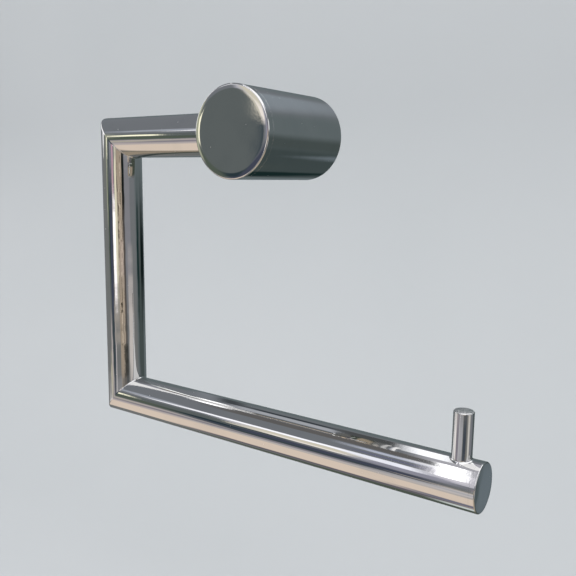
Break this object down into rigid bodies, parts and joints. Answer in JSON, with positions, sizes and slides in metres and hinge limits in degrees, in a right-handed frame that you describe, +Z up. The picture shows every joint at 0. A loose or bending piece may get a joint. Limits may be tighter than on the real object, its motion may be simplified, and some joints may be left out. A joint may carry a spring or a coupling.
{
  "type": "toilet roll holder",
  "caption": "Wall-mounted toilet roll holder: a round polished boss carries a mitred tube arm, open at one side, that ends in a roll bar with an upright stop pin.",
  "frame": {"origin": "centre of the boss's back face, on the wall", "axes": "+Z up, +Y into the wall along the boss's axis, -Y into the room, +X to the right along the roll bar, towards its free end"},
  "size_m": [0.165, 0.0465, 0.1315],
  "materials": {
    "polished_steel": "mirror polished",
    "machined_steel": "turned",
    "dark_screw_steel": "blackened"
  },
  "bodies": {
    "root": {"boss_sleeve": "polished_steel", "boss_front_cap": "polished_steel", "boss_core": "machined_steel", "arm_clamp_screw": "dark_screw_steel", "wall_bracket": "machined_steel", "boss_set_screw": "dark_screw_steel", "upper_arm_tube": "polished_steel", "arm_insert": "machined_steel", "drop_tube": "polished_steel", "roll_bar": "polished_steel", "bar_end_plug": "polished_steel", "stop_pin": "polished_steel"}
  },
  "joints": []
}
